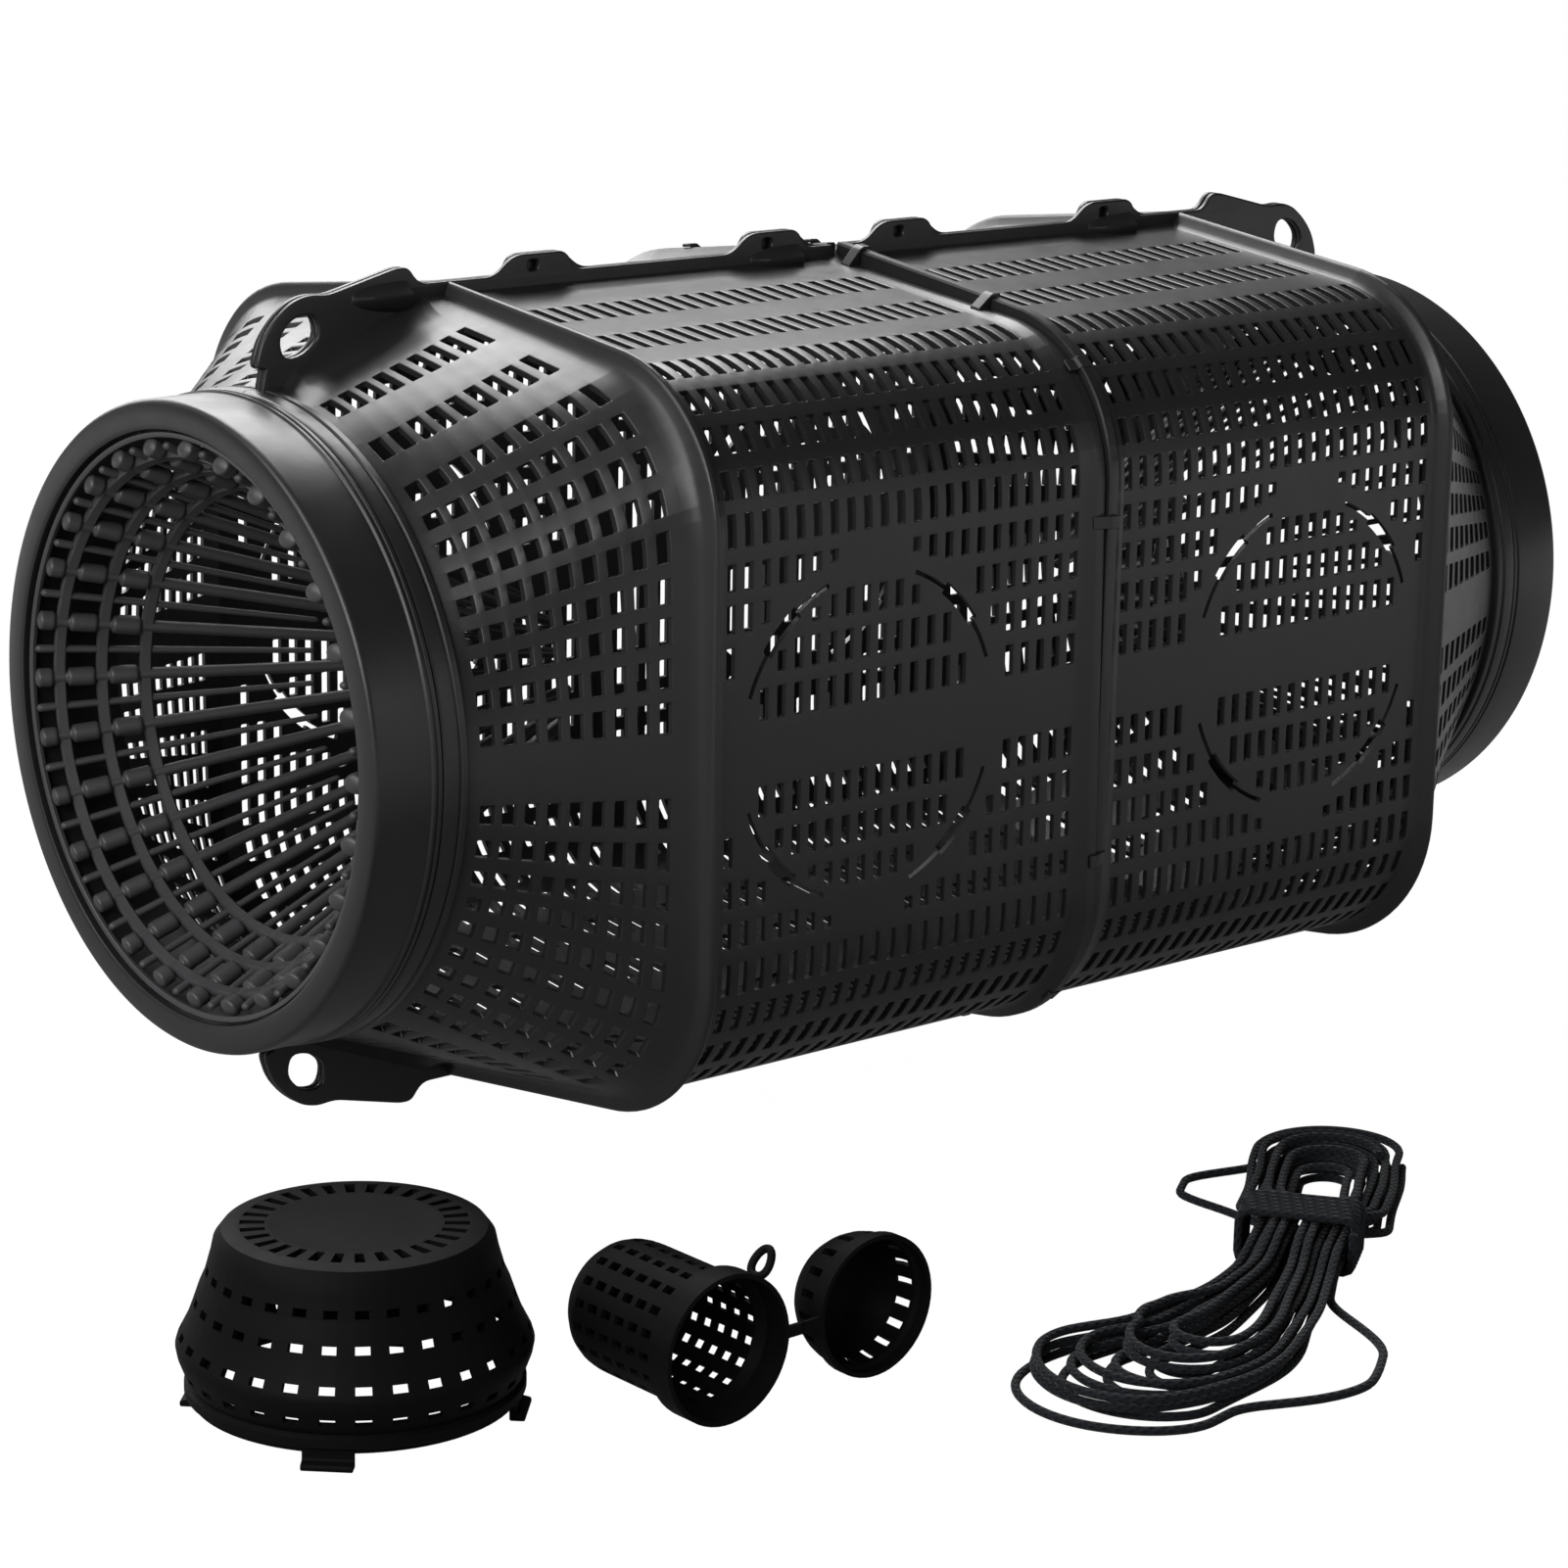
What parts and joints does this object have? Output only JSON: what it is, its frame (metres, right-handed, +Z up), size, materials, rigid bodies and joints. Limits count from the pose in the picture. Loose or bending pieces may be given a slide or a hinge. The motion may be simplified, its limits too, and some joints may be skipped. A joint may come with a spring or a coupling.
{
  "type": "minnow trap",
  "caption": "Moulded plastic funnel trap of four snap-together perforated shells with two fingered entry funnels, a bait basket, a bait box and a hank of cord.",
  "frame": {"origin": "on the floor under the middle of everything but the cord", "axes": "+Z up, +X along the trap's length, -Y towards the side whose bait seats face the kit"},
  "size_m": [0.7566, 0.5747, 0.316],
  "materials": {
    "shell_plastic": "satin moulded black",
    "funnel_plastic": "soft satin moulded black",
    "kit_plastic": "soft satin moulded black",
    "cord": "braided black synthetic cord"
  },
  "bodies": {
    "front_half": {"front_left_shell": "shell_plastic", "front_right_shell": "shell_plastic", "bait_basket": "kit_plastic", "bait_box_cup": "kit_plastic", "cord_hank": "cord", "cord_tie": "cord"},
    "back_half": {"back_left_shell": "shell_plastic", "back_right_shell": "shell_plastic"},
    "near_entry": {"near_collar": "shell_plastic", "near_funnel": "funnel_plastic"},
    "far_entry": {"far_collar": "shell_plastic", "far_funnel": "funnel_plastic"},
    "bait_lid": {"bait_box_lid": "kit_plastic"}
  },
  "joints": [
    {"name": "lower_seam_hinge", "type": "hinge", "parent": "front_half", "child": "back_half", "pos_m": [0.07325, 0.0812, 0], "axis": [-1, 0, 0], "range_deg": [0, 100]},
    {"name": "near_entry_turn", "type": "hinge", "parent": "front_half", "child": "near_entry", "pos_m": [-0.23175, 0.0812, 0.158], "axis": [1, 0, 0], "continuous": true},
    {"name": "far_entry_turn", "type": "hinge", "parent": "front_half", "child": "far_entry", "pos_m": [0.37825, 0.0812, 0.158], "axis": [1, 0, 0], "continuous": true},
    {"name": "bait_lid_fold", "type": "hinge", "parent": "front_half", "child": "bait_lid", "pos_m": [-0.21225, -0.2358, 0.0245], "axis": [0, 0, -1], "range_deg": [0, 180]}
  ]
}
